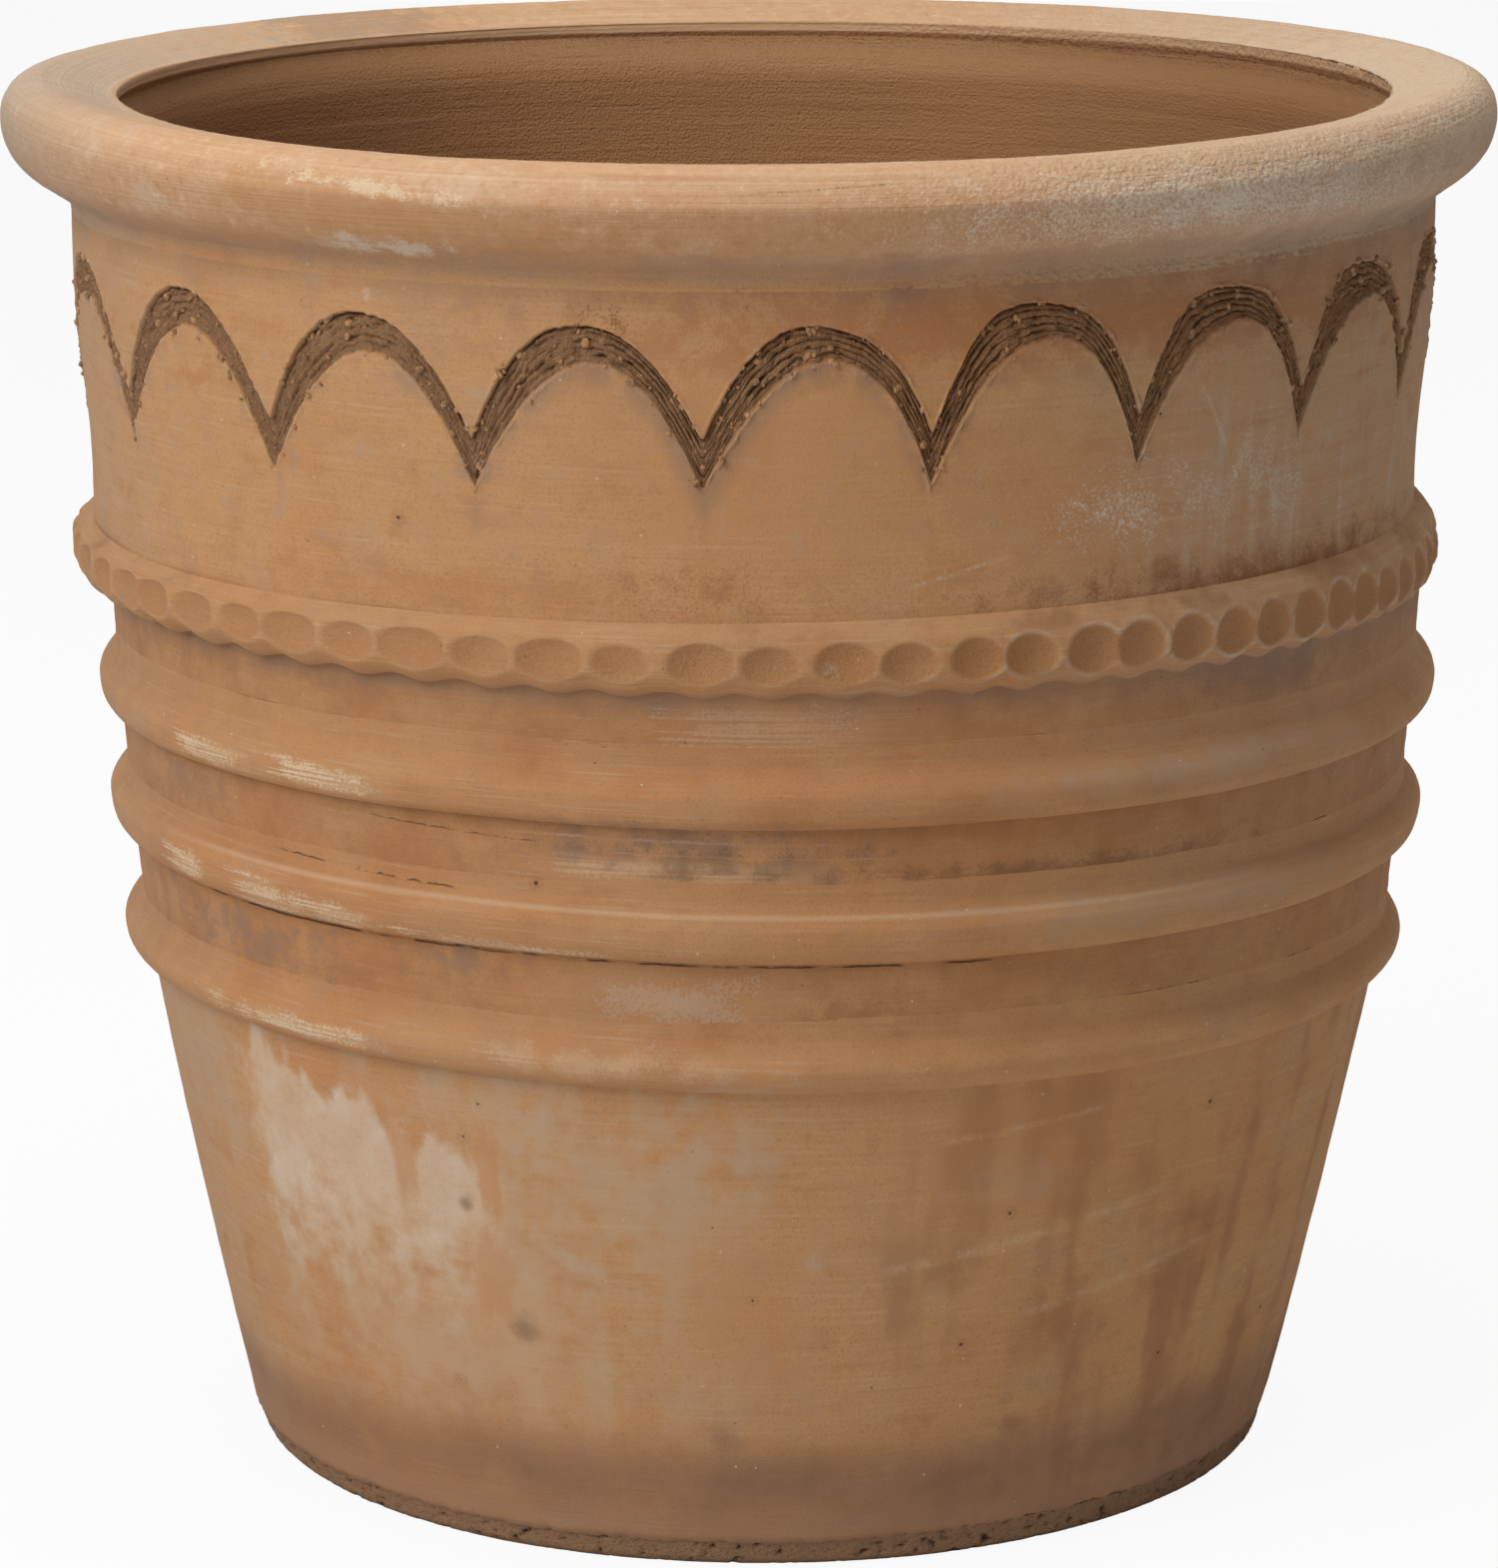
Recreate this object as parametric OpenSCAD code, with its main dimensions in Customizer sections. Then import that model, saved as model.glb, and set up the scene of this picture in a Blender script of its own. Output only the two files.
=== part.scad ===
// Hand-built terracotta flower pot: a floor slab, three thrown wall sections, a rolled rim,
// a thumbed band and three plain rings, each a clay member luted to the next.
// The pot stands on z = 0 with its axis on Z; the front is towards -Y.

/* [Foot] */
// Diameter of the foot where it meets the ground
foot_d = 349; // [340:1:356]
// Thickness of the floor
floor_t = 20; // [16:1:24]
// Diameter of the drain hole in the floor
drain_d = 30; // [20:1:40]
// Height of the worn edge around the foot
foot_edge = 4; // [2:1:6]

/* [Wall sections] */
// Height of the joint between the lower and the middle section
lower_joint_z = 176; // [174:1:178]
// Height of the joint between the middle and the upper section
upper_joint_z = 310; // [308:1:312]
// Height of the top edge of the upper section, inside the rim
wall_top_z = 448; // [446:1:450]
// Outside diameter of the wall at the lower joint
lower_joint_d = 423.6; // [420:0.2:426]
// Outside diameter of the wall at the upper joint
upper_joint_d = 444.8; // [442:0.2:447]
// Outside diameter of the wall at its top edge
wall_top_d = 457.4; // [455:0.2:458]
// How far the lower section swells beyond a straight cone
lower_belly = 1.1; // [0:0.1:2]
// How far the middle section swells beyond a straight cone
middle_belly = 1.4; // [0:0.1:2]
// How far the upper section swells beyond a straight cone
upper_belly = 0.6; // [0:0.1:1]
// Thickness of the wall at the floor
wall_t_low = 18; // [16:0.5:20]
// Thickness of the wall at the top
wall_t_high = 13; // [12:0.5:14]
// Height of the ridge and groove that key one section into the next
key_h = 4; // [2:0.5:5]
// Height of the inside fillet between floor and wall
fillet_h = 14; // [6:1:20]

/* [Rim] */
// Outside diameter of the rolled rim
rim_d = 499; // [497:1:501]
// Height of the top of the rim
rim_top_z = 466; // [465:0.5:467]
// Radius of the roll's upper, outer edge
roll_r = 11.5; // [11:0.5:12]
// Radius of the roll below its widest point
roll_under_r = 21.5; // [21:0.5:22]
// Diameter of the mouth at the inner lip
mouth_d = 426; // [424:1:428]
// Height of the inner lip's upper edge
lip_z = 461; // [459:1:463]
// Height of the inner lip's face
lip_h = 5; // [3:1:6]
// Drop of the lip's underside towards the wall
lip_undercut = 2; // [1:0.5:3]
// Height at which the underside of the rim meets the wall
rim_under_z = 429; // [428:1:430]

/* [Rings] */
// Height of the lower ring's crest
lower_ring_z = 177.5; // [175:0.5:180]
// Height of the middle ring's crest
middle_ring_z = 224; // [218:0.5:228]
// Height of the upper ring's crest
upper_ring_z = 266; // [260:0.5:270]
// Height of each ring above its crest
ring_above = 11; // [10:0.5:13]
// Height of each ring below its crest
ring_below = 10.5; // [10:0.5:13]
// How far each ring stands out from the wall
ring_proud = 7; // [5:0.5:9]
// Depth of the scored seats that the rings and the band are pressed into
seat_depth = 1; // [0.5:0.1:2]

/* [Thumbed band] */
// Height of the band from edge to edge
band_h = 25; // [22:1:30]
// How far the band stands out from the wall
band_proud = 8.8; // [7:0.2:10]
// Number of thumb prints around the band
thumb_count = 66; // [50:1:70]
// Radius of the thumb's ball
thumb_r = 16; // [13:0.5:18]
// Depth of each print
thumb_depth = 3; // [2:0.1:3.5]

/* [Garland] */
// Number of arches around the garland
arch_count = 19; // [15:1:24]
// Height of the garland's upper edge at the top of an arch
arch_apex_z = 412; // [408:1:414]
// Fall of the upper edge from the top of an arch to the cusp
arch_fall = 32; // [26:1:36]
// Width of the combed stroke at the top of an arch
stroke_apex = 11; // [8:0.5:14]
// Fall of the lower edge from the top of an arch to the cusp's tip
stroke_fall = 37; // [30:1:40]
// Depth of the combed stroke
stroke_depth = 2; // [1:0.1:3]
// Turn of the garland about the axis, in degrees
garland_turn = 13.7; // [0:0.1:20]

/* [Hidden] */
$fn = 96;
clay = [0.74, 0.53, 0.36];
clay_pale = [0.79, 0.60, 0.44];
clay_dark = [0.66, 0.45, 0.30];
// Points along each curved stretch of an outline
curve_steps = 6;
// Points along the outline of a ring
ring_steps = 14;
// Points along each edge of a garland arch
arch_steps = 10;
// Powers that shape the upper and the lower edge of an arch
arch_power = 2.25;
stroke_power = 2;
// How far neighbouring arches run into each other at a cusp
arch_overlap = 0.5;
// Powers that shape a ring's belly below its crest and its shoulder above
belly_power = 3;
shoulder_power = 1.6;
// Inset of a scored seat from the edges of its ring or band
seat_inset = 3.5;
// Room beyond the wall that the garland's cutters reach into
skin_room = 4;
ring_crest_z = [lower_ring_z, middle_ring_z, upper_ring_z];
band_z0 = upper_joint_z - band_h / 2;
band_z1 = upper_joint_z + band_h / 2;

// Outside radius of a section at u, from 0 at its foot to 1 at its top
function belly_r(d0, d1, belly, u) = d0 / 2 + (d1 - d0) / 2 * u + 4 * belly * u * (1 - u);
function lower_r(z) = belly_r(foot_d, lower_joint_d, lower_belly, z / lower_joint_z);
function middle_r(z) =
    belly_r(lower_joint_d, upper_joint_d, middle_belly,
            (z - lower_joint_z) / (upper_joint_z - lower_joint_z));
function upper_r(z) =
    belly_r(upper_joint_d, wall_top_d, upper_belly,
            (z - upper_joint_z) / (wall_top_z - upper_joint_z));
function wall_r(z) =
    z < lower_joint_z ? lower_r(z) : z < upper_joint_z ? middle_r(z) : upper_r(z);
function wall_t(z) =
    wall_t_low + (wall_t_high - wall_t_low) * (z - floor_t) / (wall_top_z - floor_t);
function inner_r(z) = wall_r(z) - wall_t(z);

function ring_z0(i) = ring_crest_z[i] - ring_below;
function ring_z1(i) = ring_crest_z[i] + ring_above;

// Points up the free outside of the wall between two heights
function free_pts(z0, z1) =
    [for (i = [0 : curve_steps]) let (z = z0 + (z1 - z0) * i / curve_steps) [wall_r(z), z]];

// Radius of the straight back of a seat that spans z0 to z1, at height z
function seat_r(z0, z1, z) =
    let (a = z0 + seat_inset, b = z1 - seat_inset, u = (z - a) / (b - a))
    wall_r(a) * (1 - u) + wall_r(b) * u - seat_depth;

// The wall's outline under a ring or band: surface, seat, surface
function seat_pts(z0, z1) =
    let (a = z0 + seat_inset, b = z1 - seat_inset)
    [[wall_r(a), a], [seat_r(z0, z1, a), a], [seat_r(z0, z1, b), b], [wall_r(b), b]];

// The lower and the upper half of such an outline, for a seat that covers a joint
function seat_low_pts(z0, z1, z) =
    let (a = z0 + seat_inset)
    [[wall_r(a), a], [seat_r(z0, z1, a), a], [seat_r(z0, z1, z), z]];
function seat_high_pts(z0, z1, z) =
    let (b = z1 - seat_inset)
    [[seat_r(z0, z1, z), z], [seat_r(z0, z1, b), b], [wall_r(b), b]];

// The keyed edge between two sections, from outside to inside
function key_pts(outer, z) =
    let (inner = inner_r(z), q = (outer - inner) / 4)
    [[outer - q, z], [outer - 2 * q, z - key_h], [outer - 3 * q, z]];

// The wall's inside, downwards
function inside_pts(z1, z0) =
    [for (i = [0 : curve_steps]) let (z = z1 + (z0 - z1) * i / curve_steps) [inner_r(z), z]];

function flip(pts) = [for (i = [len(pts) - 1 : -1 : 0]) pts[i]];

// Height of a ring above the wall: rounded underneath, easing into the wall above
function ring_bump(i, z) =
    let (c = ring_crest_z[i])
    z < c ? ring_proud * sqrt(max(0, 1 - pow((c - z) / ring_below, belly_power)))
          : ring_proud * pow(max(0, cos(90 * (z - c) / ring_above)), shoulder_power);
// Heights up a ring, closer together near its creases
function ring_z(i, k, n) =
    let (z0 = ring_z0(i), z1 = ring_z1(i))
    (z0 + z1) / 2 - (z1 - z0) / 2 * cos(180 * k / n);
function ring_pts(i, n) =
    [for (k = [0 : n]) let (z = ring_z(i, k, n)) [wall_r(z) + ring_bump(i, z), z]];

// Edges of a garland arch at x, from -1 at one cusp to 1 at the next
function arch_upper(x) = arch_apex_z - arch_fall * pow(abs(x), arch_power);
function arch_lower(x) = arch_apex_z - stroke_apex - stroke_fall * pow(abs(x), stroke_power);

lower_seat_r = seat_r(ring_z0(0), ring_z1(0), lower_joint_z);
band_seat_r = seat_r(band_z0, band_z1, upper_joint_z);
crest_r = wall_r(upper_joint_z) + band_proud;
band_arc_r = (pow(band_h / 2, 2) + pow(band_proud, 2)) / (2 * band_proud);
roll_centre = [rim_d / 2 - roll_r, rim_top_z - roll_r];
under_centre = [rim_d / 2 - roll_under_r, rim_top_z - roll_r];
// Where the rim's slopes leave its roll: below the outermost point, and inwards of the top
under_turn = 60;
lip_turn = 15;

module base_slab() {
    foot_r = wall_r(0) - foot_edge / 2;
    color(clay_dark)
    difference() {
        rotate_extrude()
            polygon(concat(
                [[0, 0], [foot_r, 0], [wall_r(foot_edge), foot_edge], [wall_r(floor_t), floor_t]],
                key_pts(wall_r(floor_t), floor_t),
                [[0, floor_t]]));
        translate([0, 0, -1]) cylinder(d = drain_d, h = floor_t + 2);
    }
}

module lower_wall() {
    z0 = ring_z0(0);
    z1 = ring_z1(0);
    color(clay)
    rotate_extrude()
        polygon(concat(
            free_pts(floor_t, z0),
            seat_low_pts(z0, z1, lower_joint_z),
            key_pts(lower_seat_r, lower_joint_z),
            inside_pts(lower_joint_z, floor_t + fillet_h),
            [[inner_r(floor_t) - fillet_h / 2, floor_t]],
            flip(key_pts(wall_r(floor_t), floor_t))));
}

module middle_wall() {
    color(clay)
    rotate_extrude()
        polygon(concat(
            seat_high_pts(ring_z0(0), ring_z1(0), lower_joint_z),
            free_pts(ring_z1(0), ring_z0(1)),
            seat_pts(ring_z0(1), ring_z1(1)),
            free_pts(ring_z1(1), ring_z0(2)),
            seat_pts(ring_z0(2), ring_z1(2)),
            free_pts(ring_z1(2), band_z0),
            seat_low_pts(band_z0, band_z1, upper_joint_z),
            key_pts(band_seat_r, upper_joint_z),
            inside_pts(upper_joint_z, lower_joint_z),
            flip(key_pts(lower_seat_r, lower_joint_z))));
}

module garland_arch() {
    r = wall_r(arch_apex_z);
    half_w = r * tan(180 / arch_count) + arch_overlap;
    xs = [for (i = [0 : arch_steps]) 2 * i / arch_steps - 1];
    translate([0, wall_t_high - r, 0])
    rotate([90, 0, 0])
    linear_extrude(height = wall_t_high + roll_r)
        polygon(concat(
            [for (x = xs) [x * half_w, arch_upper(x)]],
            [for (x = flip(xs)) [x * half_w, arch_lower(x)]]));
}

module garland_skin() {
    z0 = arch_apex_z - stroke_apex - stroke_fall - skin_room;
    z1 = arch_apex_z + skin_room;
    rotate_extrude()
        polygon([
            [wall_r(z0) - stroke_depth, z0], [wall_r(z0) + skin_room, z0],
            [wall_r(z1) + skin_room, z1], [wall_r(z1) - stroke_depth, z1]]);
}

module upper_wall() {
    color(clay_pale)
    difference() {
        rotate_extrude()
            polygon(concat(
                seat_high_pts(band_z0, band_z1, upper_joint_z),
                free_pts(band_z1, rim_under_z),
                [[wall_r(wall_top_z), wall_top_z]],
                key_pts(wall_r(wall_top_z), wall_top_z),
                inside_pts(wall_top_z, upper_joint_z),
                flip(key_pts(band_seat_r, upper_joint_z))));
        intersection() {
            garland_skin();
            for (k = [0 : arch_count - 1])
                rotate([0, 0, garland_turn + (k + 0.5) * 360 / arch_count]) garland_arch();
        }
    }
}

module rim_section() {
    top_r = wall_r(wall_top_z);
    under = [
        [wall_r(rim_under_z), rim_under_z],
        [under_centre[0] + roll_under_r * cos(under_turn), under_centre[1] - roll_under_r * sin(under_turn)]
    ];
    lip = [
        [roll_centre[0] - roll_r * sin(lip_turn), roll_centre[1] + roll_r * cos(lip_turn)],
        [mouth_d / 2, lip_z],
        [mouth_d / 2, lip_z - lip_h],
        [inner_r(wall_top_z), lip_z - lip_h - lip_undercut]
    ];
    union() {
        difference() {
            translate(roll_centre) circle(r = roll_r);
            translate([top_r - roll_r * 2, roll_centre[1] - roll_r * 2])
                square([roll_r * 2, wall_top_z - roll_centre[1] + roll_r * 2]);
        }
        intersection() {
            translate(under_centre) circle(r = roll_under_r);
            translate([top_r, under_centre[1] - roll_under_r])
                square([rim_d / 2 - top_r, roll_under_r]);
        }
        polygon(concat(
            under, lip,
            [[inner_r(wall_top_z), wall_top_z]],
            flip(key_pts(top_r, wall_top_z)),
            [[top_r, wall_top_z]]));
    }
}

module rim_roll() {
    color(clay_pale)
    rotate_extrude() rim_section();
}

module thumbed_band() {
    color(clay)
    difference() {
        rotate_extrude()
            intersection() {
                translate([crest_r - band_arc_r, upper_joint_z]) circle(r = band_arc_r);
                polygon(concat(
                    [[wall_r(band_z0), band_z0]],
                    seat_pts(band_z0, band_z1),
                    [[wall_r(band_z1), band_z1]],
                    [[rim_d / 2, band_z1], [rim_d / 2, band_z0]]));
            }
        for (k = [0 : thumb_count - 1])
            rotate([0, 0, k * 360 / thumb_count])
            translate([0, thumb_depth - thumb_r - crest_r, upper_joint_z])
                sphere(r = thumb_r);
    }
}

module ring(i) {
    rotate_extrude()
        polygon(concat(
            ring_pts(i, ring_steps),
            flip(seat_pts(ring_z0(i), ring_z1(i)))));
}

module upper_ring() {
    color(clay) ring(2);
}

module middle_ring() {
    color(clay) ring(1);
}

module lower_ring() {
    color(clay) ring(0);
}

base_slab();
lower_wall();
middle_wall();
upper_wall();
rim_roll();
thumbed_band();
upper_ring();
middle_ring();
lower_ring();
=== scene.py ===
import math
from types import SimpleNamespace

import bpy
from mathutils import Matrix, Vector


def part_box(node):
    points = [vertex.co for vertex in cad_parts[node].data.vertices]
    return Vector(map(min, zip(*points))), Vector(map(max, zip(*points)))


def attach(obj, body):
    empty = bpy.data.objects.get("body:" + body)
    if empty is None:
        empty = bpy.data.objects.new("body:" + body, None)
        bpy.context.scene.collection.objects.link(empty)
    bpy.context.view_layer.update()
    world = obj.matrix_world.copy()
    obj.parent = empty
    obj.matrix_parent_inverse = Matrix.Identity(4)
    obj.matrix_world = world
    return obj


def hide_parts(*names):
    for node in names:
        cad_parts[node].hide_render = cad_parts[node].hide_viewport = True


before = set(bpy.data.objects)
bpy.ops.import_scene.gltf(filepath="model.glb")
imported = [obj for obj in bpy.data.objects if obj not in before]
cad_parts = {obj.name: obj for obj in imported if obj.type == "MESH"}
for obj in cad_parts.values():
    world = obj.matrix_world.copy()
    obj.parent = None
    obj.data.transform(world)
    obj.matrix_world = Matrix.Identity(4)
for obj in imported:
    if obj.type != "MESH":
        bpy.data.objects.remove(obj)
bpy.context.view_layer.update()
print("frame loaded:", len(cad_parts), "clay members")

# Sizes are in millimetres and degrees. Azimuth 0 is the front, towards -Y, and grows towards +X.
mm = 0.001
tiny = 1e-6
degreesPerRadian = 57.3


def srgb(red, green, blue):
    def straight(c):
        return c / 3294.6 if c <= 10.3 else ((c / 255 + 0.055) / 1.055) ** 2.4
    return straight(red), straight(green), straight(blue), 1.0


def pick(sockets, key):
    if isinstance(key, int):
        return sockets[key]
    named = [s for s in sockets if key in (s.identifier, s.name)]
    return next((s for s in named if s.enabled), named[0])


def does(operation):  # a method that applies one operation to a wire and what it is given
    return lambda self, *others: self.maths(operation, self, *others)


class Wire:  # a socket, or a bare tree, whose maths adds nodes to its tree
    def __init__(self, tree, socket=None):
        self.tree = tree
        self.socket = socket

    def node(self, kind, sockets=None, out=0, **settings):
        made = self.tree.nodes.new(kind)
        for key, value in settings.items():
            setattr(made, key, value)
        for key, value in (sockets or {}).items():
            target = pick(made.inputs, key)
            if isinstance(value, Wire):
                self.tree.links.new(value.socket, target)
            else:
                target.default_value = value
        return Wire(self.tree, pick(made.outputs, out) if made.outputs else None)

    def out(self, key):  # another output of the same node
        return Wire(self.tree, pick(self.socket.node.outputs, key))

    def named(self, key):  # a value that the mesh keeps
        return self.node("GeometryNodeInputNamedAttribute", {"Name": key}, data_type="FLOAT")

    def maths(self, operation, *values):
        return self.node("ShaderNodeMath", dict(enumerate(values)), operation=operation)

    __add__ = __radd__ = does("ADD")
    __sub__ = does("SUBTRACT")
    __mul__ = __rmul__ = does("MULTIPLY")
    __truediv__ = does("DIVIDE")
    __pow__ = does("POWER")
    size = does("ABSOLUTE")
    floor = does("FLOOR")
    root = does("SQRT")
    atMost = does("MINIMUM")
    atLeast = does("MAXIMUM")

    def __rsub__(self, other):
        return self.maths("SUBTRACT", other, self)

    def __rtruediv__(self, other):
        return self.maths("DIVIDE", other, self)

    def sin(self):  # of degrees
        return self.maths("SINE", self * (math.pi / 180))

    def cos(self):
        return self.maths("COSINE", self * (math.pi / 180))

    def ease(self, low, high):  # 0 at low, 1 at high, whichever is larger
        return self.node("ShaderNodeMapRange", {"Value": self, "From Min": low, "From Max": high},
                         interpolation_type="SMOOTHSTEP")

    def bell(self, middle, width):  # 1 at the middle, 0 beyond the width
        return ((self - middle) / width).size().ease(1, 0)

    def between(self, low, high, soft):
        return self.ease(low - soft, low + soft) * self.ease(high + soft, high - soft)

    def vector(self, x, y, z):
        return self.node("ShaderNodeCombineXYZ", {0: x, 1: y, 2: z})

    def split(self):
        first = self.node("ShaderNodeSeparateXYZ", {0: self})
        return first, first.out(1), first.out(2)

    def times(self, factors, shift=(0, 0, 0)):
        return self.node("ShaderNodeVectorMath", {0: self, 1: factors, 2: shift}, operation="MULTIPLY_ADD")

    def moved(self, grain, seed):
        return self.times((1 / grain, 1 / grain, 1 / grain), (seed, 1.7 * seed, -2.3 * seed))

    def grit(self, grain, detail=2.0, seed=0.0, crisp=0.5):  # noise on a place, about -0.5 to 0.5
        return self.node("ShaderNodeTexNoise", {"Vector": self.moved(grain, seed), "Scale": 1.0,
                                                "Detail": detail, "Roughness": crisp}) - 0.5

    def dots(self, grain, share, size, seed=0.0):  # scattered round flecks
        cells = self.node("ShaderNodeTexVoronoi", {"Vector": self.moved(grain, seed), "Scale": 1.0})
        draw, unused, spread = cells.out("Color").split()
        radius = spread * size + size * 0.4
        return (cells / radius).ease(1, 0.6) * draw.ease(1 - share, 1.002 - share)

    def chance(self, seed):  # one random value from 0 to 1 for each whole number
        return self.node("ShaderNodeTexWhiteNoise", {"W": self + seed}, noise_dimensions="1D")

    def paint(self, share, colour):  # this colour, covered by another
        return self.node("ShaderNodeMix", {"Factor_Float": share, "A_Color": self, "B_Color": colour},
                         "Result_Color", data_type="RGBA")


def emptyTree(owner):  # of a material or a world
    owner.use_nodes = True
    owner.node_tree.nodes.clear()
    return Wire(owner.node_tree)


def drawn(az, along, azStep, step, detail=2.0, seed=0.0):  # noise drawn out to azStep degrees by step mm
    spin = degreesPerRadian / azStep
    return az.vector(az.sin() * spin, az.cos() * spin, along / step).grit(1, detail, seed)


# Clay outlines are closed loops of (radius, height, inside), up the outside and down the inside

def run(start, end, steps, inside=0.0):
    parts = [i / steps for i in range(steps)]
    return [(start[0] + (end[0] - start[0]) * t, start[1] + (end[1] - start[1]) * t, inside) for t in parts]


def turn(centre, radius, start, end, steps):
    angles = [math.radians(start + (end - start) * i / steps) for i in range(steps)]
    return [(centre[0] + radius * math.cos(a), centre[1] + radius * math.sin(a), 0.0) for a in angles]


def climb(radiusAt, low, high, steps, inside=0.0):
    heights = [low + (high - low) * i / steps for i in range(steps)]
    return [(radiusAt(z), z, inside) for z in heights]


def crowded(low, high, steps):  # heights that lie closer together near both ends
    return [low + (high - low) * (0.5 - 0.5 * math.cos(math.pi * i / steps)) for i in range(steps + 1)]


wall = dict(
    footRadius=174.5, lowerJointZ=176, lowerJointRadius=211.8, upperJointZ=310, upperJointRadius=222.4,
    topZ=448, lowerBelly=1.1, middleBelly=1.4, flareLow=223.3, flareHigh=228.3, flareFrom=335, flareTo=405,
    floorZ=20, thickLow=18, thickHigh=14.6, innerLeanLow=1.0, innerLeanHigh=-1.8,
)


def swell(low, high, belly, t):
    return low + (high - low) * t + 4 * belly * t * (1 - t)


def outerRadius(z):
    if z < wall["lowerJointZ"]:
        t = z / wall["lowerJointZ"]
        return swell(wall["footRadius"], wall["lowerJointRadius"], wall["lowerBelly"], t)
    if z < wall["upperJointZ"]:
        t = (z - wall["lowerJointZ"]) / (wall["upperJointZ"] - wall["lowerJointZ"])
        return swell(wall["lowerJointRadius"], wall["upperJointRadius"], wall["middleBelly"], t)
    t = min(max((z - wall["flareFrom"]) / (wall["flareTo"] - wall["flareFrom"]), 0), 1)
    return wall["flareLow"] + (wall["flareHigh"] - wall["flareLow"]) * t * t * (3 - 2 * t)


def flaredRadius(z):  # the same upper wall, for a height in a tree
    flare = z.ease(wall["flareFrom"], wall["flareTo"])
    return wall["flareLow"] + (wall["flareHigh"] - wall["flareLow"]) * flare


def innerRadius(z):
    t = (z - wall["floorZ"]) / (wall["topZ"] - wall["floorZ"])
    return outerRadius(z) - wall["thickLow"] - (wall["thickHigh"] - wall["thickLow"]) * t


def newTree(name, shape, sizes):  # an empty tree with inputs for a shape and its sizes
    tree = bpy.data.node_groups.new(name, "GeometryNodeTree")
    tree.interface.new_socket(name="Geometry", in_out="OUTPUT", socket_type="NodeSocketGeometry")
    kinds = {key: "Int" if isinstance(value, int) else "Float" for key, value in sizes.items()}
    for key, kind in {shape: "Geometry", **kinds}.items():
        tree.interface.new_socket(name=key, in_out="INPUT", socket_type="NodeSocket" + kind)
    w = Wire(tree)
    start = w.node("NodeGroupInput", out=shape)
    return w, start, SimpleNamespace(**{key: start.out(key) for key in sizes})


def closeTree(w, geometry, material):
    geometry = w.node("GeometryNodeRealizeInstances", {"Geometry": geometry})
    geometry = w.node("GeometryNodeSetMaterial", {"Geometry": geometry, "Material": material})
    w.node("NodeGroupOutput", {0: geometry})
    return w.tree


def onWheel(at, r, z):
    return at.w.vector(r * at.side, r * at.ahead * -1, z)


# One tree per turned member: its outline is swept round the wheel, then the hand's marks are pressed in

def turnedTree(name, sizes, marks, material):
    w, outline, given = newTree(name, "Outline", sizes)
    columns, rows = given.columns, given.rows
    grid = w.node("GeometryNodeMeshGrid",
                  {"Size X": 1, "Size Y": 1, "Vertices X": columns + 1, "Vertices Y": rows + 1})
    spot = w.node("GeometryNodeInputPosition")
    across, along, unused = spot.split()
    row = ((along + 0.5) * rows + 0.5).floor()
    column = ((across + 0.5) * columns + 0.5).floor()

    def onOutline(shift, field, dataType):
        index = row + rows + shift
        index = index - rows * ((index + 0.25) / rows).floor()
        return w.node("GeometryNodeSampleIndex", {"Geometry": outline, "Value": field, "Index": index},
                      data_type=dataType)

    radius, unused, height = onOutline(0, spot, "FLOAT_VECTOR").split()
    nextRadius, unused, nextHeight = onOutline(1, spot, "FLOAT_VECTOR").split()
    lastRadius, unused, lastHeight = onOutline(-1, spot, "FLOAT_VECTOR").split()
    climbR, climbZ = nextRadius - lastRadius, nextHeight - lastHeight
    reach = (climbR * climbR + climbZ * climbZ).root().atLeast(tiny)
    at = SimpleNamespace(w=w, sizes=given, az=column * 360 / columns - 180, r=radius, z=height,
                         inside=onOutline(0, w.named("inside"), "FLOAT"),
                         run=onOutline(0, w.named("run"), "FLOAT"))
    at.side, at.ahead = at.az.sin(), at.az.cos()  # 1 at the right, 1 at the front
    at.place = onWheel(at, radius, height)
    made = marks(at)
    finalR = made.get("r", radius) + climbZ / reach * made["out"]
    finalZ = made.get("z", height) - climbR / reach * made["out"] + made.get("lift", 0.0)
    share = (height - wall["floorZ"]) / (wall["topZ"] - wall["floorZ"])
    innerLean = wall["innerLeanLow"] + share * (wall["innerLeanHigh"] - wall["innerLeanLow"])
    lean = made["lean"] * (1 - at.inside) + innerLean * at.inside
    geometry = grid
    for key, value in {"inside": at.inside, "run": at.run, **made.get("keep", {})}.items():
        geometry = w.node("GeometryNodeStoreNamedAttribute",
                          {"Geometry": geometry, "Name": key, "Value": value},
                          data_type="FLOAT", domain="POINT")
    final = w.vector((finalR * at.side + lean) * mm, finalR * at.ahead * -mm, finalZ * mm)
    geometry = w.node("GeometryNodeSetPosition", {"Geometry": geometry, "Position": final})
    geometry = w.node("GeometryNodeMergeByDistance", {"Geometry": geometry, "Distance": tiny})
    geometry = w.node("GeometryNodeSetShadeSmooth", {0: geometry})
    return closeTree(w, geometry, material)


def runTree(piece, tree, sizes):  # runs the tree once and keeps its plain mesh
    modifier = piece.modifiers.new("clay", "NODES")
    modifier.node_group = tree
    for item in tree.interface.items_tree:
        if item.in_out == "INPUT" and item.name in sizes:
            modifier[item.identifier] = sizes[item.name]
    ready = piece.evaluated_get(bpy.context.evaluated_depsgraph_get())
    mesh = bpy.data.meshes.new_from_object(ready)
    piece.modifiers.remove(modifier)
    piece.data = mesh
    mesh.name = piece.name


def addPiece(name, mesh):
    piece = bpy.data.objects.new(name, mesh)
    bpy.context.scene.collection.objects.link(piece)
    return piece


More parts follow.
